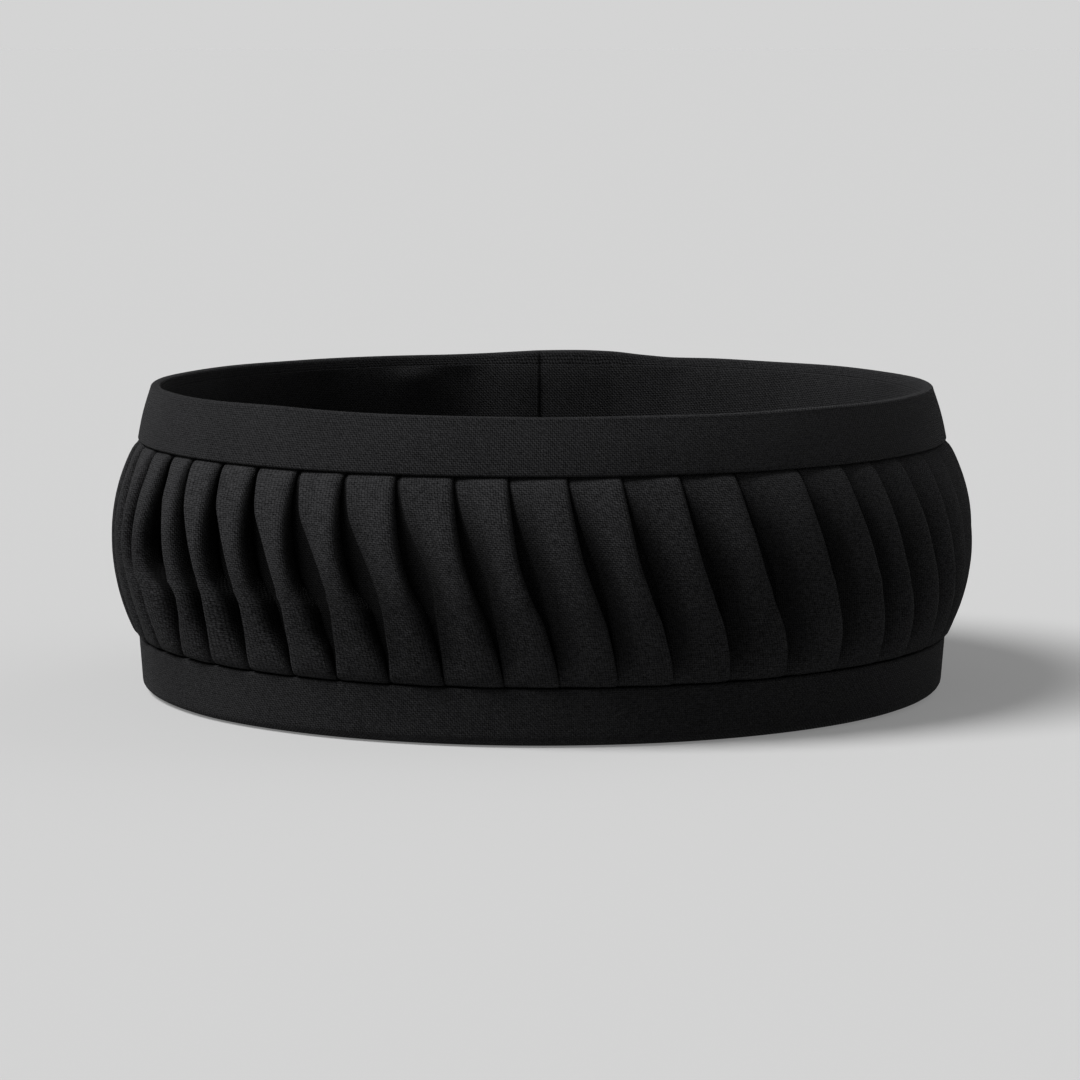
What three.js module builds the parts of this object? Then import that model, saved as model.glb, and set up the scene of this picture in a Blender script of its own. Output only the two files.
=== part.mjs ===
import * as THREE from 'three';

// A round cloth cap lying on its crown with its mouth up. Sizes are in millimetres and turns in degrees.
// A turn starts at the front, -Y, and grows towards the right, +X, so the back is at 180.

// Heights above the surface that the cap lies on
const rimHeight = 71.5;
const mouthSeamHeight = 59;
const crownSeamHeight = 13.2;
const seamGap = 0.3;

// Cloth walls
const bandWall = 1.5;
const pleatWall = 1.2;
const liningWall = 1;
const crownThickness = 1.5;

// How many flat steps a plain ring has
const ringSteps = 48;

// Mouth band: its outer face leans in towards the rim, and the rim rolls over to the inside
const mouthFace = [
  { height: mouthSeamHeight + seamGap / 2, radius: 95.6 },
  { height: 63.5, radius: 94.9 },
  { height: 67.5, radius: 93.9 },
  { height: 70.4, radius: 92.9 },
];
const rimRollRadius = 1.3;
const rimRollAngles = [50, 110, 180];
const rimInnerRadius = 89.9;
const rimRollDepth = 2.2;
const rimEdgeTurnIn = 0.2;

// Crown band: it rounds its lower corner and turns under
const crownFace = [
  { height: 0, radius: 90.9 },
  { height: 0.5, radius: 93.2 },
  { height: 1.8, radius: 94.7 },
  { height: 6, radius: 95.3 },
  { height: crownSeamHeight - seamGap / 2, radius: 95.8 },
];
const crownPanelRadius = 88;

// Lining: a straight wall inside the bands, thinner where its top edge is tucked under the rim
const liningInnerRadius = 90.2;
const liningEdgeDepth = 2;
const liningEdgeTurnIn = 0.2;

// Back join: the end of the strip laps over its start, and the rim is a little higher there
const lapStart = 167.8;
const lapEnd = 180.6;
const lapSlope = 0.6;
const lapProud = 0.9;
const lapRise = 0.6;

// Side cloth: the barrel from the crown seam up to the mouth seam. Open is how far its pleats stand
// open, and lean how much of a fold's way from its mouth end to its crown end is done.
const tuckRadius = 92.9;
const tuckDepth = 2.5;
const barrel = [
  { height: crownSeamHeight + seamGap / 2, radius: 96.1, open: 0.26, lean: 1 },
  { height: 19.5, radius: 99.5, open: 0.7, lean: 0.85 },
  { height: 27, radius: 101.5, open: 0.95, lean: 0.6 },
  { height: 35.5, radius: 102.1, open: 1, lean: 0.32 },
  { height: 44.5, radius: 101.2, open: 0.8, lean: 0.16 },
  { height: 52.5, radius: 98.8, open: 0.5, lean: 0.05 },
  { height: mouthSeamHeight - seamGap / 2, radius: 95.8, open: 0.26, lean: 0 },
];

// Folds across the front, with the turn of the folded edge at each seam and its depth half way up
const frontFolds = [
  { mouth: -69.2, crown: -65, depth: 2.8 },
  { mouth: -62.6, crown: -58.3, depth: 3 },
  { mouth: -56.2, crown: -50.4, depth: 3.3 },
  { mouth: -49, crown: -42.8, depth: 3.5 },
  { mouth: -41.8, crown: -35.1, depth: 3.6 },
  { mouth: -34.5, crown: -28.1, depth: 3.6 },
  { mouth: -27.1, crown: -20.4, depth: 3.4 },
  { mouth: -19.6, crown: -12.9, depth: 3.2 },
  { mouth: -11.8, crown: -5, depth: 3 },
  { mouth: -4.6, crown: 2.2, depth: 2.8 },
  { mouth: 3.1, crown: 9.8, depth: 2.6 },
  { mouth: 10.2, crown: 17.2, depth: 2.5 },
  { mouth: 18, crown: 25.2, depth: 2.4 },
  { mouth: 25.9, crown: 33.8, depth: 2.4 },
  { mouth: 36, crown: 42.6, depth: 2.4 },
  { mouth: 43.9, crown: 51.1, depth: 2.3 },
  { mouth: 50.2, crown: 58, depth: 2.2 },
  { mouth: 57, crown: 65.2, depth: 2.2 },
  { mouth: 64.7, crown: 72.2, depth: 2.3 },
];

// The folds round the rest of the cap, which the photo doesn't show
const hiddenFolds = 30;
const hiddenFoldDepth = 2.7;

// Which rows of the barrel the inner face has too, from the mouth down
const barrelInnerRows = [5, 3, 1];

// One pleat from left to right. Flat and open are its points as shares of the pleat's width, pressed
// flat and standing open, inside is the place of the same column on the inner face, and drop is how
// far below the barrel it lies, as a share of the depth.
const pleatColumns = [
  { flat: 0.06, open: -0.05, inside: 0.05, drop: 1 },
  { flat: 0.42, open: 0.4, inside: 0.36, drop: 0.45 },
  { flat: 0.78, open: 0.84, inside: 0.66, drop: 0.06 },
  { flat: 0.96, open: 1, inside: 0.9, drop: 0.25 },
];

const clothColour = new THREE.Color().setRGB(0.13, 0.13, 0.135, THREE.SRGBColorSpace);
const liningColour = new THREE.Color().setRGB(0.1, 0.1, 0.105, THREE.SRGBColorSpace);
const clothRoughness = 0.92;

function pointAt(turn, radius, height) {
  const angle = THREE.MathUtils.degToRad(turn);
  return new THREE.Vector3(radius * Math.sin(angle), -radius * Math.cos(angle), height);
}

// A closed ring from sections that stand side by side around the axis. Each section is a closed outline
// that climbs its outer face and comes down its inner one, with as many points as every other.
function ringFromSections(sections) {
  const rows = sections[0].length;
  const positions = [];
  for (const section of sections) {
    for (const point of section) {
      positions.push(point.x, point.y, point.z);
    }
  }
  const index = [];
  for (let column = 0; column < sections.length; column += 1) {
    const nextColumn = (column + 1) % sections.length;
    for (let row = 0; row < rows; row += 1) {
      const nextRow = (row + 1) % rows;
      const a = column * rows + row;
      const b = nextColumn * rows + row;
      const c = nextColumn * rows + nextRow;
      const d = column * rows + nextRow;
      index.push(a, b, c, a, c, d);
    }
  }
  const geometry = new THREE.BufferGeometry();
  geometry.setAttribute('position', new THREE.Float32BufferAttribute(positions, 3));
  geometry.setIndex(index);
  geometry.computeVertexNormals();
  return geometry;
}

function clothPiece(name, geometry, colour) {
  const material = new THREE.MeshStandardMaterial({ color: colour, roughness: clothRoughness, metalness: 0 });
  const piece = new THREE.Mesh(geometry, material);
  piece.name = name;
  return piece;
}

// Even turns round a ring, with the lap's corners and its middle in place of those that are near it
function ringTurns() {
  const step = 360 / ringSteps;
  const corners = [lapStart - step / 2, lapStart, lapEnd - lapSlope, lapEnd];
  const turns = [];
  for (let count = 0; count < ringSteps; count += 1) {
    const turn = count * step;
    if (turn < corners[0] - step / 2 || turn > lapEnd + step / 2) {
      turns.push(turn);
    }
  }
  const middle = (lapStart + lapEnd) / 2;
  return [...turns, ...corners, middle].sort((first, second) => first - second);
}

// One on the lap and none away from it. The columns beside its corners make its two slopes.
function lapShare(turn) {
  return turn >= lapStart && turn <= lapEnd - lapSlope ? 1 : 0;
}

function mouthBandSection(turn) {
  const rise = lapRise * lapShare(turn);
  const rollMiddle = rimInnerRadius + rimRollRadius;
  const rollHeight = rimHeight + rise - rimRollRadius;
  const outline = mouthFace.map((row) => [row.radius, row.height]);
  for (const angle of rimRollAngles.map(THREE.MathUtils.degToRad)) {
    outline.push([rollMiddle + rimRollRadius * Math.cos(angle), rollHeight + rimRollRadius * Math.sin(angle)]);
  }
  const rollFoot = rimHeight - rimRollDepth;
  outline.push([rimInnerRadius + rimEdgeTurnIn, rollFoot]);
  outline.push([liningInnerRadius + liningWall + seamGap, rollFoot]);
  outline.push([mouthFace[0].radius - bandWall, mouthFace[0].height]);
  return outline.map(([radius, height]) => pointAt(turn, radius, height));
}

function crownBandSection(turn) {
  const top = crownFace[crownFace.length - 1];
  const corner = crownFace[1];
  const outline = crownFace.map((row) => [row.radius, row.height]);
  outline.push([top.radius - bandWall, top.height]);
  outline.push([corner.radius, 2 * bandWall]);
  outline.push([corner.radius - bandWall, bandWall]);
  outline.push([crownPanelRadius + seamGap, bandWall]);
  outline.push([crownPanelRadius + seamGap, 0]);
  return outline.map(([radius, height]) => pointAt(turn, radius, height));
}

function liningSection(turn) {
  const foot = crownThickness + seamGap;
  const top = rimHeight - rimRollDepth - seamGap;
  const inner = liningInnerRadius - lapProud * lapShare(turn);
  const outer = liningInnerRadius + liningWall;
  const outline = [
    [outer, foot],
    [outer, top],
    [inner + liningEdgeTurnIn, top],
    [inner, top - liningEdgeDepth],
    [inner, foot],
  ];
  return outline.map(([radius, height]) => pointAt(turn, radius, height));
}

// Every fold round the cap: those across the front, and the rest evenly spaced behind them
function allFolds() {
  const first = frontFolds[0];
  const last = frontFolds[frontFolds.length - 1];
  const folds = [...frontFolds];
  for (let count = 1; count <= hiddenFolds; count += 1) {
    const share = count / (hiddenFolds + 1);
    folds.push({
      mouth: THREE.MathUtils.lerp(last.mouth, first.mouth + 360, share),
      crown: THREE.MathUtils.lerp(last.crown, first.crown + 360, share),
      depth: hiddenFoldDepth,
    });
  }
  return folds;
}

// One column of the side cloth: the outer face from the crown seam up, then the inner face down
function pleatSection(left, right, column) {
  function turnAt(share, lean) {
    const from = THREE.MathUtils.lerp(left.mouth, left.crown, lean);
    const to = THREE.MathUtils.lerp(right.mouth, right.crown, lean);
    return THREE.MathUtils.lerp(from, to, share);
  }
  const foot = barrel[0];
  const top = barrel[barrel.length - 1];
  const footTurn = turnAt(column.flat, foot.lean);
  const topTurn = turnAt(column.flat, top.lean);
  const outer = barrel.map((row) => {
    const share = THREE.MathUtils.lerp(column.flat, column.open, row.open);
    const radius = row.radius - column.drop * row.open * right.depth;
    return pointAt(turnAt(share, row.lean), radius, row.height);
  });
  const inner = barrelInnerRows.map((count) => {
    const row = barrel[count];
    const radius = row.radius - row.open * right.depth - pleatWall;
    return pointAt(turnAt(column.inside, row.lean), radius, row.height);
  });
  const innerTuck = tuckRadius - pleatWall;
  return [
    pointAt(footTurn, tuckRadius, foot.height - tuckDepth),
    pointAt(footTurn, tuckRadius, foot.height),
    ...outer,
    pointAt(topTurn, tuckRadius, top.height),
    pointAt(topTurn, tuckRadius, top.height + tuckDepth),
    pointAt(topTurn, innerTuck, top.height + tuckDepth),
    pointAt(topTurn, innerTuck, top.height),
    ...inner,
    pointAt(footTurn, innerTuck, foot.height),
    pointAt(footTurn, innerTuck, foot.height - tuckDepth),
  ];
}

function makeMouthBand() {
  return clothPiece('mouth_band', ringFromSections(ringTurns().map(mouthBandSection)), clothColour);
}

function makeCrownBand() {
  return clothPiece('crown_band', ringFromSections(ringTurns().map(crownBandSection)), clothColour);
}

function makeLining() {
  return clothPiece('lining', ringFromSections(ringTurns().map(liningSection)), liningColour);
}

function makePleatedSide() {
  const folds = allFolds();
  const sections = [];
  folds.forEach((right, count) => {
    const left = count > 0 ? folds[count - 1] : folds[folds.length - 1];
    const wrap = count > 0 ? 0 : -360;
    const leftFold = { mouth: left.mouth + wrap, crown: left.crown + wrap };
    for (const column of pleatColumns) {
      sections.push(pleatSection(leftFold, right, column));
    }
  });
  return clothPiece('pleated_side', ringFromSections(sections), clothColour);
}

// A flat disc lying on the surface, closed on the axis above and below
function makeCrownPanel() {
  const profile = [
    new THREE.Vector2(0, 0),
    new THREE.Vector2(crownPanelRadius, 0),
    new THREE.Vector2(crownPanelRadius, crownThickness),
    new THREE.Vector2(0, crownThickness),
  ];
  const disc = new THREE.LatheGeometry(profile, ringSteps);
  disc.rotateX(Math.PI / 2);
  return clothPiece('crown_panel', disc, liningColour);
}

const cap = new THREE.Group();
cap.add(makeMouthBand(), makePleatedSide(), makeCrownBand(), makeCrownPanel(), makeLining());

export default cap;
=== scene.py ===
import math

import bpy
import numpy as np
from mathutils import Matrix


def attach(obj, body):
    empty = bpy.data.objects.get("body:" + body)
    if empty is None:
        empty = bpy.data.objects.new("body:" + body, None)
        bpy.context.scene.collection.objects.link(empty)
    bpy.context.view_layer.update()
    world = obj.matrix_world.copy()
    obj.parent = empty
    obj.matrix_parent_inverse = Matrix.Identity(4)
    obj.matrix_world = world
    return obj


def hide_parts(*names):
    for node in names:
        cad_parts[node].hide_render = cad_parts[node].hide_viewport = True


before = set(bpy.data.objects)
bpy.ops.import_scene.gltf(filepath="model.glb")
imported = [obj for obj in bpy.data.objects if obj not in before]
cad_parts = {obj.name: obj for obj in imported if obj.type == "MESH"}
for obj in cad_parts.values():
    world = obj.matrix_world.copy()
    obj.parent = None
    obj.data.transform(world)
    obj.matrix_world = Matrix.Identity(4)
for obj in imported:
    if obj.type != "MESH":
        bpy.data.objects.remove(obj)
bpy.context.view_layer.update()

mm = 0.001
print("frame loaded:", sorted(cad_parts))

# Turns are degrees round the cap. 0 is the front (-Y) and they grow to the right (+X), so the back is 180.
# Sizes in the dictionaries are millimetres, and go to metres where the meshes are made.


def smoothStep(low, high, x):
    t = np.clip((x - low) / (high - low), 0, 1)
    return t * t * (3 - 2 * t)


def softCurve(xs, ys, x):  # a smooth curve through a few points, with no swing past them
    xs, ys = np.array(xs, float), np.array(ys, float)
    steps = np.diff(ys) / np.diff(xs)
    before, after = steps[:-1], steps[1:]
    turning = before * after <= 0
    slopes = np.empty(len(xs))
    slopes[0], slopes[-1] = steps[0], steps[-1]
    slopes[1:-1] = np.where(turning, 0, 2 * before * after / np.where(turning, 1, before + after))
    spot = np.clip(np.searchsorted(xs, x) - 1, 0, len(xs) - 2)
    width = xs[spot + 1] - xs[spot]
    t = (x - xs[spot]) / width
    rise = (1 + 2 * t) * (1 - t) ** 2 * ys[spot] + t * t * (3 - 2 * t) * ys[spot + 1]
    bend = t * (1 - t) ** 2 * slopes[spot] - t * t * (1 - t) * slopes[spot + 1]
    return rise + bend * width


def ripple(seed, turns, heights, lobes, tall):  # seeded unevenness of about -1 to 1, closed round the cap
    dice = np.random.default_rng(seed)
    waves = 7
    total = 0
    for _ in range(waves):
        around = dice.integers(max(1, lobes // 2), lobes + 1)
        lean = dice.uniform(-1, 1) / tall
        phase = 2 * math.pi * (heights * lean + dice.uniform(0, 1))
        total = total + np.sin(np.radians(turns) * around + phase)
    return total / math.sqrt(2 * waves)


def ringPoints(turns, radii, heights):
    angles = np.radians(turns)
    return np.stack([radii * np.sin(angles), -radii * np.cos(angles), heights + 0 * angles], axis=-1) * mm


def gridPiece(name, points, clothU, clothV, closedUp):
    # points is columns x rows x 3 round the cap; closedUp joins the last row back to the first one
    columns, rows = points.shape[:2]
    mesh = bpy.data.meshes.new(name)
    column, row = np.meshgrid(np.arange(columns), np.arange(rows if closedUp else rows - 1), indexing="ij")
    nextColumn, nextRow = (column + 1) % columns, (row + 1) % rows
    faces = np.stack([column * rows + row, nextColumn * rows + row, nextColumn * rows + nextRow,
                      column * rows + nextRow], axis=-1).reshape(-1, 4)
    mesh.from_pydata(points.reshape(-1, 3).tolist(), [], faces.tolist())
    u = np.stack([clothU[column], clothU[column + 1], clothU[column + 1], clothU[column]], axis=-1)
    v = np.stack([clothV[row], clothV[row], clothV[row + 1], clothV[row + 1]], axis=-1)
    layer = mesh.uv_layers.new(name="cloth")
    layer.data.foreach_set("uv", np.stack([u, v], axis=-1).astype(np.float32).ravel())
    mesh.polygons.foreach_set("use_smooth", np.ones(len(mesh.polygons), bool))
    mesh.update()
    piece = bpy.data.objects.new(name, mesh)
    bpy.context.scene.collection.objects.link(piece)
    return piece


def addMap(piece, name, values):  # a second map that gives the material one value for each point
    corners = np.empty(len(piece.data.loops), int)
    piece.data.loops.foreach_get("vertex_index", corners)
    values = values.ravel()[corners]
    layer = piece.data.uv_layers.new(name=name)
    layer.data.foreach_set("uv", np.stack([values, 0 * values], axis=-1).astype(np.float32).ravel())


def runLengths(outline):  # length along an outline of (radius, height) rows, with the way back to its start
    closed = np.vstack([outline, outline[:1]])
    return np.concatenate([[0], np.cumsum(np.linalg.norm(np.diff(closed, axis=0), axis=1))])


# the back join: the strips' two ends lap there. proud is how far the cloth stands in from its usual place
backLap = {
    "turn": [150, 163, 168, 169.5, 172, 175, 178, 180.3, 180.65, 182, 184, 186, 188, 190, 192, 194],
    "proud": [0, 0.55, 0.8, 1.15, 1.55, 1.7, 1.55, 1.25, 1.65, 1.7, 1.55, 1.15, 0.6, 0.2, 0, 0],
    "edge": 180.5,
}


def lapProud(turn):
    turns = backLap["turn"]
    return float(softCurve(turns, backLap["proud"], np.clip(turn, turns[0], turns[-1])))


# materials: one weave, four cloths. The noises' scales are in waves a metre.
weave = {
    "pitch": 0.46,           # thread spacing in mm
    "wander": 0.55,          # how far the threads stray, in pitches
    "strayScale": 420,
    "grainScale": 1900,
    "slubScale": 2300,
    "slubStretch": 0.25,     # below 1 draws the slubs out along the thread
    "driftScale": 38,
    "grainHeight": 0.9,      # how much each of these adds to the threads' relief
    "slubHeight": 0.5,
    "yarnMiddle": 0.64,      # the threads' mean height
    "toneMiddle": 0.5,
    "depth": 0.00018,        # the relief's height in metres
    "bumpStrength": 0.9,
    "yarnTone": 0.55,        # how much each of these moves the cloth's tone
    "grainTone": 1.5,
    "slubTone": 0.9,
    "driftTone": 0.5,
    "paintedLightFrom": 0.03,        # painted light: above this height in metres the cloth is painted lighter towards the mouth, standing in for the light from above
    "paintedLightReach": 0.035,
    "roughness": 0.82,
    "gloss": 0.06,
    "sheenRoughness": 0.35,
    "sheenTint": (0.85, 0.85, 0.86, 1),
}
# dark and light are the ends of a cloth's tone. Its painted light is how much lighter it is painted towards
# the mouth, standing in for the light from above, and its painted shade whether it is painted darker down
# in the hollows, where shade falls
cloths = {
    "band_cloth": {
        "dark": (0.0085, 0.0085, 0.0090),
        "light": (0.0345, 0.0345, 0.0360),
        "sheen": 0.055,
        "paintedTopLight": 0.2,
        "paintsHollowShade": False,
    },
    "pleat_cloth": {
        "dark": (0.0045, 0.0045, 0.0048),
        "light": (0.0432, 0.0432, 0.0449),
        "sheen": 0.02,
        "paintedTopLight": 0.3,
        "paintsHollowShade": True,
    },
    "crown_cloth": {
        "dark": (0.0085, 0.0085, 0.0090),
        "light": (0.0320, 0.0320, 0.0336),
        "sheen": 0.05,
        "paintedTopLight": 0.2,
        "paintsHollowShade": False,
    },
    "lining_cloth": {
        "dark": (0.0098, 0.0098, 0.0103),
        "light": (0.0365, 0.0365, 0.0380),
        "sheen": 0.05,
        "paintedTopLight": 0.2,
        "paintsHollowShade": False,
    },
}


def clothMaterial(slot):
    look = cloths[slot]
    material = bpy.data.materials.new(slot)
    material.use_nodes = True
    nodes, links = material.node_tree.nodes, material.node_tree.links
    shader = nodes["Principled BSDF"]
    shader.inputs["Roughness"].default_value = weave["roughness"]
    shader.inputs["Specular IOR Level"].default_value = weave["gloss"]
    shader.inputs["Sheen Weight"].default_value = look["sheen"]
    shader.inputs["Sheen Roughness"].default_value = weave["sheenRoughness"]
    shader.inputs["Sheen Tint"].default_value = weave["sheenTint"]

    def maths(operation, first, second=None, third=None):
        node = nodes.new("ShaderNodeMath")
        node.operation = operation
        for socket, value in zip(node.inputs, (first, second, third)):
            if isinstance(value, (int, float)):
                socket.default_value = value
            elif value is not None:
                links.new(value, socket)
        return node.outputs[0]

    def noise(where, scale, detail):
        node = nodes.new("ShaderNodeTexNoise")
        node.inputs["Scale"].default_value = scale
        node.inputs["Detail"].default_value = detail
        links.new(where, node.inputs["Vector"])
        return node.outputs["Fac"]

    def stretched(u, v):  # cloth coordinates, drawn out to make streaks along a thread
        node = nodes.new("ShaderNodeMapping")
        node.inputs["Scale"].default_value = (u, v, 1)
        links.new(clothMap.outputs["UV"], node.inputs["Vector"])
        return node.outputs[0]

    place = nodes.new("ShaderNodeTexCoord").outputs["Object"]
    clothMap = nodes.new("ShaderNodeUVMap")
    clothMap.uv_map = "cloth"
    split = nodes.new("ShaderNodeSeparateXYZ")
    links.new(clothMap.outputs["UV"], split.inputs[0])

    # plain weave: each crossing shows the warp or the weft thread, rounded across its width
    stray = maths("SUBTRACT", noise(place, weave["strayScale"], 2), 0.5)
    stray = maths("MULTIPLY", stray, 2 * weave["wander"] * math.pi)
    perMetre = math.pi / (weave["pitch"] * mm)
    warp = maths("SINE", maths("MULTIPLY_ADD", split.outputs["X"], perMetre, stray))
    weft = maths("SINE", maths("MULTIPLY_ADD", split.outputs["Y"], perMetre, stray))
    over = maths("GREATER_THAN", maths("MULTIPLY", warp, weft), 0)
    yarn = maths("ADD", maths("MULTIPLY", over, maths("ABSOLUTE", warp)),
                 maths("MULTIPLY", maths("SUBTRACT", 1, over), maths("ABSOLUTE", weft)))

    grain = maths("SUBTRACT", noise(place, weave["grainScale"], 2), 0.5)
    slub = maths("SUBTRACT", noise(stretched(weave["slubStretch"], 1), weave["slubScale"], 1), 0.5)
    drift = maths("SUBTRACT", noise(place, weave["driftScale"], 3), 0.5)
    height = maths("MULTIPLY_ADD", slub, weave["slubHeight"], yarn)
    height = maths("MULTIPLY_ADD", grain, weave["grainHeight"], height)
    bump = nodes.new("ShaderNodeBump")
    bump.inputs["Strength"].default_value = weave["bumpStrength"]
    bump.inputs["Distance"].default_value = weave["depth"]
    links.new(height, bump.inputs["Height"])
    links.new(bump.outputs["Normal"], shader.inputs["Normal"])

    tone = maths("SUBTRACT", yarn, weave["yarnMiddle"])
    tone = maths("MULTIPLY_ADD", tone, weave["yarnTone"], weave["toneMiddle"])
    tone = maths("MULTIPLY_ADD", grain, weave["grainTone"], tone)
    tone = maths("MULTIPLY_ADD", slub, weave["slubTone"], tone)
    tone = maths("MULTIPLY_ADD", drift, weave["driftTone"], tone)
    spot = nodes.new("ShaderNodeSeparateXYZ")
    links.new(place, spot.inputs[0])
    # painted light: the tone is raised with height above that mark, standing in for the light falling from
    # above
    paintedLightRise = maths("MAXIMUM", maths("SUBTRACT", spot.outputs["Z"], weave["paintedLightFrom"]), 0)
    tone = maths("MULTIPLY_ADD", paintedLightRise, look["paintedTopLight"] / weave["paintedLightReach"], tone)
    colour = nodes.new("ShaderNodeMix")
    colour.data_type = "RGBA"
    colour.inputs[6].default_value = (*look["dark"], 1)
    colour.inputs[7].default_value = (*look["light"], 1)
    links.new(tone, colour.inputs["Factor"])
    if look["paintsHollowShade"]:    # painted shade: the colour is darkened down in the hollows, where shade falls
        paintedShadeMap = nodes.new("ShaderNodeUVMap")
        paintedShadeMap.uv_map = "hollow"
        hollow = nodes.new("ShaderNodeSeparateXYZ")
        links.new(paintedShadeMap.outputs["UV"], hollow.inputs[0])
        paintedShadeColour = nodes.new("ShaderNodeVectorMath")
        paintedShadeColour.operation = "SCALE"
        links.new(colour.outputs[2], paintedShadeColour.inputs[0])
        links.new(hollow.outputs["X"], paintedShadeColour.inputs["Scale"])
        links.new(paintedShadeColour.outputs[0], shader.inputs["Base Color"])
    else:
        links.new(colour.outputs[2], shader.inputs["Base Color"])
    return material


materials = {slot: clothMaterial(slot) for slot in cloths}
print("materials ready:", list(materials))


def finishPiece(piece, node, slot):
    piece.data.materials.append(materials[slot])
    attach(piece, "root")
    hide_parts(node)


# the side cloth: one strip in 49 knife pleats, each lapping the next on its right
pleatedSide = {
    "crownSeam": 13.2,
    "mouthSeam": 59.0,
    "widestHeight": 35.5,
    "widestRadius": 102.1,
    "seamDraw": 6.4,          # how far the barrel draws in at its seams
    "barrelPower": 2.1,
    "thickness": 0.46,
    "tuckRadius": 92.6,       # where the layers lie under the bands, and how far they reach in there
    "tuckReach": 2.2,
    "tuckLayers": 0.62,       # how closely the layers lie under the bands
    "tuckTurn": (-0.3, 0.6),  # between these distances past a seam the cloth comes down to the tuck
    "rows": 34,
    "hiddenFolds": 30,
    "unevenness": 0.14,
    "foldWander": 0.5,        # how many degrees the hidden folds stray
    "seed": 21,
    "paintedShadeDepths": (0.6, 3.0),   # painted shade: between these depths the colour goes from its own tone to its darkest
    "ribbonPaintedShade": 0.10,          # how much of its tone the painted shade leaves down there, in the two kinds of open pleat
    "slopePaintedShade": 0.40,
}

# the folds across the front. mouth and crown are the turns of the folded edge at the two seams. high and
# low are how far in mm it swings aside above and below its middle, gape is how wide the hollow beside it
# stands open and yawn how many mm wider it is low down. knuckle is how suddenly the hollow shuts low down,
# straight how straight the fold runs, roll how many mm its edge sinks low down, deep how deep the hollow
# is, and ribbon how sharply the next pleat stands out of it.
foldColumns = [
    "mouth", "crown", "high", "low", "gape", "yawn", "knuckle", "straight", "roll", "deep", "ribbon",
]
frontFolds = [
    [-69.2, -65.0, -4.6, 0.0, 1.00, 0.0, 1.0, 0.0, 1.5, 1.00, 1.0],
    [-62.6, -58.3, -6.2, 0.8, 2.30, 2.5, 1.0, 0.0, 2.5, 1.00, 1.0],
    [-56.2, -50.4, -0.4, -0.8, 1.35, 3.0, 1.0, 0.0, 3.0, 1.00, 1.0],
    [-49.0, -42.8, -2.1, -1.2, 1.50, 2.4, 1.0, 0.0, 3.5, 1.00, 1.0],
    [-41.8, -35.1, -1.8, -2.0, 1.40, 2.2, 0.9, 0.0, 3.5, 1.05, 0.85],
    [-34.5, -28.1, -1.5, -1.7, 1.32, 1.8, 1.0, 0.0, 3.5, 1.00, 0.65],
    [-27.1, -20.4, -0.8, -0.9, 1.12, 0.9, 0.9, 0.0, 3.0, 1.00, 0.5],
    [-19.6, -12.9, -0.2, 0.0, 1.40, 0.0, 0.2, 0.0, 2.5, 1.00, 0.3],
    [-11.8, -5.0, 0.0, -0.2, 1.20, 0.3, 0.0, 0.0, 1.8, 1.00, 0.2],
    [-4.6, 2.2, -0.5, -0.2, 1.00, 0.0, 0.0, 0.0, 1.2, 1.00, 0.1],
    [3.1, 9.8, 0.2, 0.0, 0.85, 0.0, 0.0, 0.0, 0.8, 1.00, 0.1],
    [10.2, 17.2, -0.4, -0.5, 0.85, 0.0, 0.0, 0.0, 0.4, 1.00, 0.0],
    [18.0, 25.2, -0.3, -0.6, 1.00, 0.0, 0.0, 0.2, 0.0, 1.00, 0.0],
    [25.9, 33.8, -0.8, -1.0, 1.00, 0.0, 0.0, 0.8, 0.0, 1.05, 0.0],
    [36.0, 42.6, 0.0, -0.2, 1.00, 0.0, 0.0, 1.0, 0.0, 1.10, 0.0],
    [43.9, 51.1, 0.0, -0.5, 1.00, 0.0, 0.0, 1.0, 0.0, 1.10, 0.0],
    [50.2, 58.0, -0.8, -0.6, 1.00, 0.0, 0.0, 1.0, 0.0, 1.05, 0.0],
    [57.0, 65.2, 0.0, 0.0, 0.80, 0.0, 0.0, 1.0, 0.0, 1.00, 0.0],
    [64.7, 72.2, 0.0, 0.0, 0.50, 0.0, 0.0, 1.0, 0.0, 0.80, 0.2],
]
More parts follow.
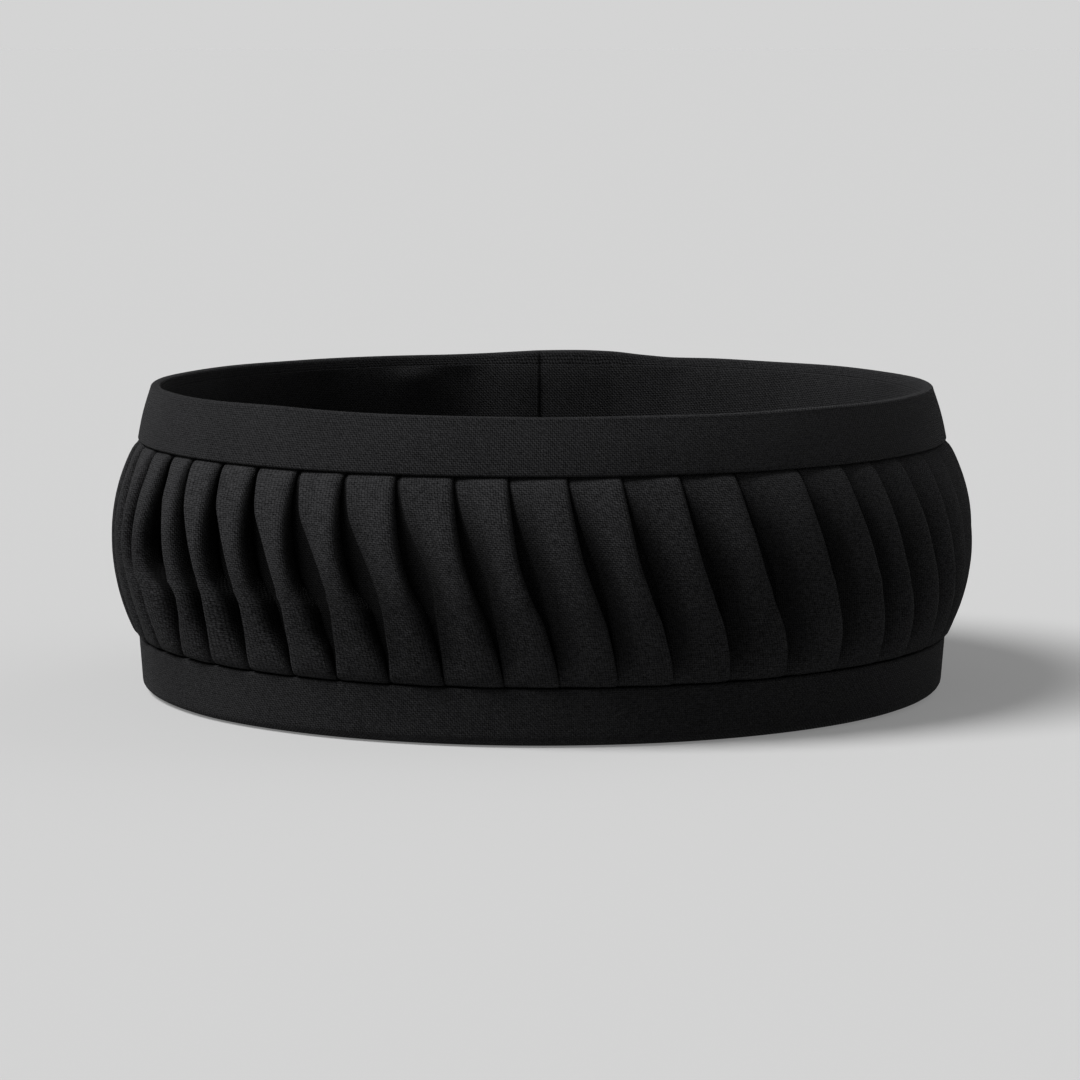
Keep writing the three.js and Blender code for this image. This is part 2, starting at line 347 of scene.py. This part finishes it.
# by height: how far the three kinds of fold have gone from their mouth end to their crown end, how far the
# hollow beside them stands open in mm, where the two swings come, how much of their depth the open hollows
# have and how much of theirs the pressed pleats
foldLines = {
    "height": [13.2, 17.0, 20.0, 24.0, 28.0, 30.0, 32.0, 34.0, 37.0, 41.0, 45.0, 50.0, 54.0, 59.0],
    "soft": [1.00, 0.94, 0.885, 0.80, 0.70, 0.625, 0.55, 0.48, 0.385, 0.275, 0.195, 0.115, 0.055, 0.0],
    "knuckled": [1.00, 0.95, 0.92, 0.85, 0.79, 0.73, 0.55, 0.42, 0.31, 0.19, 0.10, 0.03, 0.0, 0.0],
    "straight": [1.00, 0.97, 0.94, 0.86, 0.72, 0.65, 0.585, 0.53, 0.43, 0.34, 0.25, 0.14, 0.08, 0.0],
    "softGap": [0.3, 0.4, 0.6, 1.0, 1.5, 1.9, 2.5, 3.0, 3.4, 3.1, 2.3, 1.4, 1.0, 0.7],
    "knuckledGap": [0.5, 1.0, 1.5, 2.1, 2.7, 3.4, 5.1, 6.2, 6.2, 5.5, 4.2, 2.4, 1.7, 0.8],
    "low": [0.0, 0.15, 0.40, 0.90, 1.00, 0.85, 0.40, 0.10, 0.0, 0.0, 0.0, 0.0, 0.0, 0.0],
    "high": [0.0, 0.0, 0.0, 0.0, 0.10, 0.40, 0.90, 1.00, 1.00, 0.80, 0.50, 0.20, 0.05, 0.0],
    "open": [0.06, 0.42, 0.68, 0.88, 1.00, 1.00, 1.00, 1.00, 1.00, 0.95, 0.80, 0.50, 0.28, 0.10],
    "relief": [0.20, 0.70, 0.95, 1.00, 1.00, 1.00, 1.00, 1.00, 1.00, 1.00, 1.00, 0.95, 0.80, 0.50],
}
# how deep the pleats dive in beside a band, by their height away from its seam
seamDive = {
    "away": [0.0, 0.3, 0.8, 1.5, 2.6],
    "mouth": [1.7, 1.1, 0.5, 0.2, 0.0],
    "crown": [2.4, 1.4, 0.35, 0.05, 0.0],
}
# one pleat across, from behind the fold on its left to behind its own. place is 0 at the left fold, 1 where
# the pleat stands out of the hollow and 2 at its own fold, and shift is mm to the right of that. pressed is
# its depth where the bands hold it flat, ribbon and slope its depths in the two kinds of open pleat. The
# columns are place, shift, pressed, ribbon and slope.
pleatCourse = [
    [0.00, -4.60, 2.30, 6.20, 4.60],
    [0.00, -2.20, 2.30, 6.40, 4.80],
    [0.00, -0.30, 2.30, 6.50, 4.90],
    [0.40, 0.00, 2.20, 6.60, 4.80],
    [0.75, 0.00, 2.00, 6.40, 4.50],
    [0.95, 0.10, 1.75, 5.60, 4.15],
    [1.00, 0.15, 1.60, 3.60, 3.95],
    [1.00, 0.25, 1.50, 1.60, 3.85],
    [1.00, 0.40, 1.42, 0.50, 3.70],
    [1.07, 0.20, 1.30, 0.10, 3.45],
    [1.18, 0.10, 1.12, 0.00, 3.00],
    [1.32, 0.00, 0.85, 0.00, 2.30],
    [1.48, 0.00, 0.52, 0.05, 1.45],
    [1.64, 0.00, 0.20, 0.18, 0.65],
    [1.78, 0.00, 0.02, 0.35, 0.15],
    [1.90, 0.00, 0.02, 0.95, 0.02],
    [1.95, 0.00, 0.12, 1.90, 0.12],
    [1.98, 0.00, 0.50, 3.60, 0.60],
    [2.00, 0.00, 1.20, 5.00, 1.40],
    [2.00, -0.20, 1.60, 5.70, 2.80],
    [2.00, -2.40, 1.80, 6.00, 4.10],
]


def allFolds():
    folds = [dict(zip(foldColumns, row)) for row in frontFolds]
    first, last = folds[0], folds[-1]
    dice = np.random.default_rng(pleatedSide["seed"])
    gaps = pleatedSide["hiddenFolds"] + 1
    wander = pleatedSide["foldWander"]
    span = {end: first[end] + 360 - last[end] for end in ("mouth", "crown")}
    for count in range(1, gaps):
        share = count / gaps
        besideFront = min(1, min(count, gaps - count) / 3)
        folds.append({
            "mouth": last["mouth"] + span["mouth"] * share + dice.uniform(-wander, wander),
            "crown": last["crown"] + span["crown"] * share + dice.uniform(-wander, wander),
            "high": dice.uniform(-0.5, 0.5),
            "low": dice.uniform(-0.5, 0.5),
            "gape": dice.uniform(0.5, 0.9) * besideFront,
            "yawn": 0,
            "knuckle": dice.uniform(0, 0.6),
            "straight": dice.uniform(0, 0.5),
            "roll": dice.uniform(0, 2),
            "deep": dice.uniform(0.75, 1.0) * (0.55 + 0.45 * besideFront),
            "ribbon": dice.uniform(0.3, 0.8),
        })
    return folds


def barrelRadii(heights):  # the round outline that the pleats' crests keep to
    side = pleatedSide
    fromWidest = np.abs(heights - side["widestHeight"]) / (side["mouthSeam"] - side["widestHeight"])
    away = seamDive["away"]
    dive = (softCurve(away, seamDive["mouth"], np.minimum(side["mouthSeam"] - heights, away[-1]))
            + softCurve(away, seamDive["crown"], np.minimum(heights - side["crownSeam"], away[-1])))
    return side["widestRadius"] - side["seamDraw"] * fromWidest ** side["barrelPower"] - dive


def pleatHeights():
    low, high = pleatedSide["crownSeam"], pleatedSide["mouthSeam"]
    reach = pleatedSide["tuckReach"]
    besideSeam = np.array([-reach, -0.6, 0.0, 0.3, 0.8, 1.4])    # closer rows at the two seams
    middle = np.linspace(low + reach, high - reach, pleatedSide["rows"])
    return np.concatenate([low + besideSeam, middle, (high - besideSeam)[::-1]])


def foldTurns(fold, line, outside):
    # by height, the turns of a folded edge and of the pleat beyond its hollow
    kind = line["soft"] + (line["knuckled"] - line["soft"]) * fold["knuckle"]
    kind = kind + (line["straight"] - kind) * fold["straight"]
    swing = fold["high"] * line["high"] + fold["low"] * line["low"]
    edge = fold["mouth"] + (fold["crown"] - fold["mouth"]) * kind + np.degrees(swing / outside)
    gap = line["softGap"] + (line["knuckledGap"] - line["softGap"]) * fold["knuckle"]
    gap = gap * fold["gape"] + fold["yawn"] * line["low"]
    return edge, edge + np.degrees(gap / outside)


def makePleatedSide():
    side = pleatedSide
    folds = allFolds()
    heights = pleatHeights()
    inSeams = np.clip(heights, side["crownSeam"], side["mouthSeam"])
    outside = barrelRadii(inSeams)
    line = {name: softCurve(foldLines["height"], column, inSeams) for name, column in foldLines.items()}
    turns, radii, paintedShades = [], [], []
    for count, fold in enumerate(folds):
        left = folds[count - 1]
        start, crest = foldTurns(left, line, outside)
        if count == 0:
            start, crest = start - 360, crest - 360
        end, _ = foldTurns(fold, line, outside)
        for place, shift, pressed, ribbon, slope in pleatCourse:
            onFace = max(0, place - 1)
            kind, deep = (left[key] + (fold[key] - left[key]) * onFace for key in ("ribbon", "deep"))
            turn = start + (crest - start) * place if place <= 1 else crest + (end - crest) * onFace
            opened = slope + (ribbon - slope) * kind
            turns.append(turn + np.degrees(shift / outside))
            sunk = fold["roll"] * line["low"] * onFace ** 4
            depth = pressed * line["relief"] + sunk + (opened - pressed) * line["open"] * deep
            radii.append(outside - depth)
            # painted shade: the deeper the cloth lies in a hollow, the darker its colour is painted,
            # standing in for the shade there
            darkestPaintedShade = side["slopePaintedShade"] + (side["ribbonPaintedShade"] - side["slopePaintedShade"]) * kind
            paintedShades.append(1 - (1 - darkestPaintedShade) * smoothStep(*side["paintedShadeDepths"], depth))
    turns, radii, paintedShades = np.array(turns), np.array(radii), np.array(paintedShades)
    radii += side["unevenness"] * (ripple(31, turns, heights, 60, 40) - 1)
    # under the bands the layers lie close together
    past = np.maximum(side["crownSeam"] - heights, heights - side["mouthSeam"])
    tucked = smoothStep(*side["tuckTurn"], past)
    layers = side["tuckRadius"] + (radii - radii.min(axis=0)) * side["tuckLayers"]
    radii = radii * (1 - tucked) + layers * tucked
    points = ringPoints(turns, radii, heights)
    middle = points[:, len(heights) // 2]
    run = np.linalg.norm(np.roll(middle, -1, axis=0) - middle, axis=1)
    clothU = np.concatenate([[0], np.cumsum(run)])
    rise = np.linalg.norm(np.diff(points[len(pleatCourse) // 2], axis=0), axis=1)
    clothV = np.concatenate([[0], np.cumsum(rise)])
    piece = gridPiece("pleated_side_cloth", points, clothU, clothV, False)
    # the painted shade for the hollows reaches the material through this map
    addMap(piece, "hollow", paintedShades)
    solidify = piece.modifiers.new("thickness", "SOLIDIFY")
    solidify.thickness = side["thickness"] * mm
    solidify.offset = 0
    finishPiece(piece, "pleated_side", "pleat_cloth")
    print("pleated side:", len(folds), "pleats, strip of", round(clothU[-1] / mm), "x",
          round(clothV[-1] / mm), "mm")


makePleatedSide()


def ringTurns(columns):  # even turns from the front, finer at the lap's sharp edge
    even = np.linspace(0, 360, columns, endpoint=False)
    edge = backLap["edge"] + np.linspace(-1.2, 0.8, 15)
    clear = 0.3    # degrees kept free between the two spacings
    even = even[(even < edge[0] - clear) | (even > edge[-1] + clear)]
    return np.sort(np.concatenate([even, edge]))


def arc(middle, radius, start, end, steps):  # points on a round corner, in degrees from outwards
    angles = np.radians(np.linspace(start, end, steps))
    return np.stack([middle[0] + radius * np.cos(angles), middle[1] + radius * np.sin(angles)], axis=-1)


def line(start, end, steps):
    return np.linspace(start, end, steps)


sharpTurn = 40    # degrees: an edge of the bands or the lining that turns more is shaded as a sharp one


def bandPiece(name, node, slot, outlineAt, columns, around):
    # outlineAt(turn) gives the band's closed outline there, as (radius, height) rows. Its two faces are
    # each as wide as the made-up cloth.
    turns = ringTurns(columns)
    outlines = np.array([outlineAt(turn) for turn in turns])
    points = ringPoints(turns[:, None], outlines[..., 0], outlines[..., 1])
    clothU = np.append(turns, turns[0] + 360) / 360 * around * mm
    clothV = runLengths(outlines[0]) * mm
    piece = gridPiece(name, points, clothU, clothV, True)
    piece.data.set_sharp_from_angle(angle=math.radians(sharpTurn))
    finishPiece(piece, node, slot)


# the mouth band: a folded strip, rolled over into the rim
mouthBand = {
    "seam": 59.1,
    "footRadius": 95.55,
    "rim": 71.55,
    "rimOuter": 92.45,
    "rimInner": 89.95,
    "outerRound": 0.75,
    "innerRound": 1.0,
    "skirt": 2.2,         # how far the rolled edge comes down inside
    "wall": 1.5,
    "foldRound": 0.4,
    "belly": 0.29,        # how far the face stands out between its edges
    "unevenness": 0.10,
    "skirtLean": 0.4,     # how far the rolled edge draws in on its way down
    "skirtWall": 1.4,
    "cutCorner": 0.05,    # bevel at the rolled edge's foot
    "lapSpread": 0.15,    # share of the lap that shows on the outside
}
# how far the rim stands above its usual height, by turn: it is lifted over the lap at the back
rimRises = {
    "turn": [0, 22, 38, 70, 131, 150, 158, 163, 169, 174, 180,
             184, 190, 197, 207, 222, 245, 290, 319, 326, 338, 360],
    "rise": [0, 0.1, 0.22, 0.1, -0.18, -0.2, -0.35, 0.1, 0.95, 1.15, 1.05,
             0.8, 0.45, 0.25, 0.2, 0.36, 0.35, 0.45, 0.6, 0.45, 0.25, 0],
}


def mouthOutline(turn):
    band = mouthBand
    uneven = band["unevenness"]
    proud = lapProud(turn)
    rise = float(softCurve(rimRises["turn"], rimRises["rise"], turn % 360))
    rim = band["rim"] + rise + uneven * float(ripple(3, turn, 0, 14, 1))
    foot = (band["footRadius"] + uneven * float(ripple(4, turn, 0, 18, 1)), band["seam"])
    top = band["rimOuter"] + uneven * float(ripple(5, turn, 0, 18, 1))
    top += band["lapSpread"] * proud
    footRound, outerRound, innerRound = band["foldRound"], band["outerRound"], band["innerRound"]
    skirtFoot = band["rim"] - band["skirt"]
    inside = band["rimInner"] - proud
    skirtEdge = inside - band["skirtLean"]
    cut = band["cutCorner"]
    faceRows = 18
    face = line((foot[0], foot[1] + footRound), (top, rim - outerRound), faceRows)[1:-1]
    face[:, 0] += band["belly"] * np.sin(np.linspace(0, math.pi, faceRows)[1:-1])
    return np.vstack([
        arc((foot[0] - footRound, foot[1] + footRound), footRound, -90, 0, 5),
        face,
        arc((top - outerRound, rim - outerRound), outerRound, 0, 90, 6),
        arc((inside + innerRound, rim - innerRound), innerRound, 95, 160, 6),
        line((inside - cut, rim - innerRound), (skirtEdge, skirtFoot + cut), 5),
        [(skirtEdge + cut, skirtFoot)],
        line((band["rimInner"] + band["skirtWall"], skirtFoot), (foot[0] - band["wall"], foot[1]), 4),
    ])


bandPiece("mouth_band_cloth", "mouth_band", "band_cloth", mouthOutline, 600, 595)

# the crown band: straight up from the crown, its lower edge turned under
crownBand = {
    "seam": 13.05,
    "topRadius": 95.75,
    "faceFoot": 95.0,
    "wall": 1.2,
    "foldRound": 0.6,
    "corner": 4.2,
    "cornerFlatness": 0.62,   # the corner is lower than it is deep
    "turnedTo": 88.3,
    "turnedFlat": 1.0,        # flat width between the corner and the turned-under part's rows
    "turnedThickness": 1.5,
    "unevenness": 0.10,
}


def crownOutline(turn):
    band = crownBand
    uneven = band["unevenness"]
    top = band["topRadius"] + uneven * float(ripple(6, turn, 0, 18, 1))
    foot = band["faceFoot"] + uneven * float(ripple(7, turn, 0, 16, 1))
    corner, foldRound = band["corner"], band["foldRound"]
    flatStart = foot - corner - band["turnedFlat"]
    squash = np.array([1, band["cornerFlatness"]])
    cornerMiddle = np.array([foot - corner, corner * band["cornerFlatness"]])
    under = arc((0, 0), corner, -90, 0, 8) * squash + cornerMiddle
    inner = arc((0, 0), corner - band["wall"], 0, -90, 6) * squash + cornerMiddle
    inner[:, 1] += band["turnedThickness"] - band["wall"] * band["cornerFlatness"]
    return np.vstack([
        line((band["turnedTo"], 0), (flatStart, 0), 3),
        under,
        line(under[-1], (top, band["seam"] - foldRound), 12)[1:],
        arc((top - foldRound, band["seam"] - foldRound), foldRound, 15, 90, 5),
        line((top - band["wall"], band["seam"]), (inner[0][0], inner[0][1] + 0.5), 4),
        inner,
        line((flatStart, band["turnedThickness"]), (band["turnedTo"], band["turnedThickness"]), 3),
    ])


bandPiece("crown_band_cloth", "crown_band", "band_cloth", crownOutline, 480, 600)

# the lining: a plain wall from under the rim to the crown, lapped at the back
lining = {
    "topRadius": 89.55,
    "outer": 91.05,
    "drawIn": 0.6,        # how far it draws in below the rim, and how soon
    "drawReach": 2.5,
    "foot": 1.9,
    "top": 69.34,
    "rows": 40,
    "edgeRows": [0.8, 0.4, 0.05],    # the last rows, in mm below the top
    "unevenness": 0.12,
}
# soft dents in the lining: turn and height of the middle, how wide and tall, and how deep
liningDents = [
    {"turn": 193.5, "height": 60, "wide": 3.5, "tall": 24, "deep": 0.5},
    {"turn": 202.0, "height": 70, "wide": 3.5, "tall": 9, "deep": -1.1},
    {"turn": 220.0, "height": 52, "wide": 6.0, "tall": 24, "deep": 0.8},
    {"turn": 158.0, "height": 60, "wide": 2.8, "tall": 24, "deep": 0.4},
    {"turn": 137.0, "height": 56, "wide": 3.0, "tall": 26, "deep": 0.4},
    {"turn": 110.0, "height": 40, "wide": 9.0, "tall": 30, "deep": 0.8},
    {"turn": 60.0, "height": 44, "wide": 8.0, "tall": 26, "deep": 0.7},
    {"turn": 15.0, "height": 38, "wide": 9.0, "tall": 30, "deep": 0.8},
    {"turn": 320.0, "height": 46, "wide": 8.0, "tall": 26, "deep": 0.7},
    {"turn": 270.0, "height": 40, "wide": 9.0, "tall": 30, "deep": 0.8},
]


def liningOutline(turn):
    wall = lining
    first, *others = wall["edgeRows"]
    below = np.append(np.linspace(wall["top"] - wall["foot"], first, wall["rows"]), others)
    heights = wall["top"] - below
    dented = wall["unevenness"] * ripple(9, turn, heights, 16, 60)
    for dent in liningDents:
        away = ((turn - dent["turn"] + 180) % 360 - 180) / dent["wide"]
        up = (heights - dent["height"]) / dent["tall"]
        dented += dent["deep"] * np.exp(-away ** 2 - up ** 2)
    dented *= smoothStep(0, wall["drawReach"], below)    # the rolled rim keeps the upper edge round
    drawnIn = wall["drawIn"] * (1 - np.exp(-below / wall["drawReach"]))
    radii = wall["topRadius"] - drawnIn - lapProud(turn) + dented
    inner = np.stack([radii, heights], axis=-1)
    return np.vstack([
        line((wall["outer"], wall["foot"]), (wall["outer"], wall["top"]), 4),
        [(radii[-1] + wall["edgeRows"][-1], wall["top"])],
        inner[::-1],
    ])


bandPiece("lining_cloth", "lining", "lining_cloth", liningOutline, 720, 570)

# the crown: a flat round panel that the cap lies on
crownPanel = {
    "radius": 88.27,     # its edge meets the turned-in edge of the crown band
    "thickness": 1.5,
    "swell": 0.35,       # how far its upper face rises and falls
    "calm": 30.0,        # towards the middle the swell dies away from this radius inwards
    "columns": 240,
    "rings": 26,
    "heart": 0.4,        # radius of the small face in the middle
}


def makeCrownPanel():
    panel = crownPanel
    columns, rings = panel["columns"], panel["rings"]
    turns = np.linspace(0, 360, columns, endpoint=False)[:, None]
    radii = np.linspace(panel["heart"], panel["radius"], rings)
    swell = ripple(11, turns, radii, 9, 70) * smoothStep(0, panel["calm"], radii)
    upper = np.minimum(panel["thickness"] + panel["swell"] * (0.5 * swell - 1), panel["thickness"])
    lower = np.zeros((columns, rings))
    edge = np.full((columns, 1), panel["thickness"] / 2)
    heights = np.concatenate([lower, edge, upper[:, ::-1]], axis=1)
    outwards = np.concatenate([radii, radii[-1:], radii[::-1]])
    points = ringPoints(turns, outwards, heights)
    rows = 2 * rings + 1
    mesh = bpy.data.meshes.new("crown_panel_cloth")
    faces = [(column * rows + row, (column + 1) % columns * rows + row,
              (column + 1) % columns * rows + row + 1, column * rows + row + 1)
             for column in range(columns) for row in range(rows - 1)]
    faces.append([column * rows for column in reversed(range(columns))])
    faces.append([column * rows + rows - 1 for column in range(columns)])
    mesh.from_pydata(points.reshape(-1, 3).tolist(), [], faces)
    layer = mesh.uv_layers.new(name="cloth")
    flat = points.reshape(-1, 3)[[loop.vertex_index for loop in mesh.loops], :2]
    layer.data.foreach_set("uv", flat.astype(np.float32).ravel())
    mesh.polygons.foreach_set("use_smooth", np.ones(len(mesh.polygons), bool))
    mesh.update()
    piece = bpy.data.objects.new("crown_panel_cloth", mesh)
    bpy.context.scene.collection.objects.link(piece)
    piece.data.materials.append(materials["crown_cloth"])
    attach(piece, "root")
    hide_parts("crown_panel")
    print("crown panel ready:", len(mesh.polygons), "faces")


makeCrownPanel()

# floor, light and camera
studio = {
    "floorSide": 400.0,
    "floorColour": (0.27, 0.27, 0.27),
    "floorGlow": 0.245,       # the floor's own light, which keeps its shadow open
    "gamma": 0.8,             # below 1 deepens the blacks
}
# turn is where each light comes from, height its degrees over the floor, softness its width in degrees
lamps = {
    "key": {"strength": 5.65, "turn": 289, "height": 52, "softness": 28},
    "rim": {"strength": 0.66, "turn": 120, "height": 25, "softness": 68},
}
# brightness of the studio round the cap, by the sine of the height over the horizon
studioGlow = [
    {"at": 0.00, "glow": 0.715},
    {"at": 0.06, "glow": 0.715},
    {"at": 0.12, "glow": 0.22},
    {"at": 1.00, "glow": 0.22},
]
view = {
    "place": (-0.00047, -0.9744, 0.15096),
    "downTilt": 0.1194,
    "lens": 137.3,
}


def makeFloor():
    half = studio["floorSide"] / 2
    mesh = bpy.data.meshes.new("floor")
    corners = [(-half, -half, 0), (half, -half, 0), (half, half, 0), (-half, half, 0)]
    mesh.from_pydata(corners, [], [(0, 1, 2, 3)])
    floor = bpy.data.objects.new("floor", mesh)
    bpy.context.scene.collection.objects.link(floor)
    material = bpy.data.materials.new("floor")
    material.use_nodes = True
    shader = material.node_tree.nodes["Principled BSDF"]
    shader.inputs["Base Color"].default_value = (*studio["floorColour"], 1)
    shader.inputs["Roughness"].default_value = 1
    shader.inputs["Specular IOR Level"].default_value = 0
    shader.inputs["Emission Color"].default_value = (1, 1, 1, 1)
    shader.inputs["Emission Strength"].default_value = studio["floorGlow"]
    mesh.materials.append(material)


def makeStudioLight():
    world = bpy.data.worlds.new("studio")
    bpy.context.scene.world = world
    world.use_nodes = True
    nodes, links = world.node_tree.nodes, world.node_tree.links
    direction = nodes.new("ShaderNodeTexCoord")
    split = nodes.new("ShaderNodeSeparateXYZ")
    links.new(direction.outputs["Generated"], split.inputs[0])
    ramp = nodes.new("ShaderNodeValToRGB")
    stops = ramp.color_ramp.elements
    while len(stops) < len(studioGlow):
        stops.new(0.5)
    for stop, row in zip(stops, studioGlow):
        stop.position = row["at"]
        stop.color = (row["glow"], row["glow"], row["glow"], 1)
    links.new(split.outputs["Z"], ramp.inputs["Fac"])
    links.new(ramp.outputs["Color"], nodes["Background"].inputs["Color"])

    for name, look in lamps.items():
        lamp = bpy.data.lights.new(name, "SUN")
        lamp.energy = look["strength"]
        lamp.angle = math.radians(look["softness"])
        light = bpy.data.objects.new(name, lamp)
        light.rotation_euler = (math.radians(90 - look["height"]), 0, math.radians(look["turn"]))
        bpy.context.scene.collection.objects.link(light)
    bpy.context.scene.view_settings.view_transform = "Standard"
    bpy.context.scene.view_settings.gamma = studio["gamma"]


def makeCamera():
    lens = bpy.data.cameras.new("camera")
    lens.lens = view["lens"]
    lens.sensor_width = 36
    camera = bpy.data.objects.new("camera", lens)
    camera.location = view["place"]
    camera.rotation_euler = (math.pi / 2 - view["downTilt"], 0, 0)
    bpy.context.scene.collection.objects.link(camera)
    bpy.context.scene.camera = camera


makeFloor()
makeStudioLight()
makeCamera()
print("studio ready")
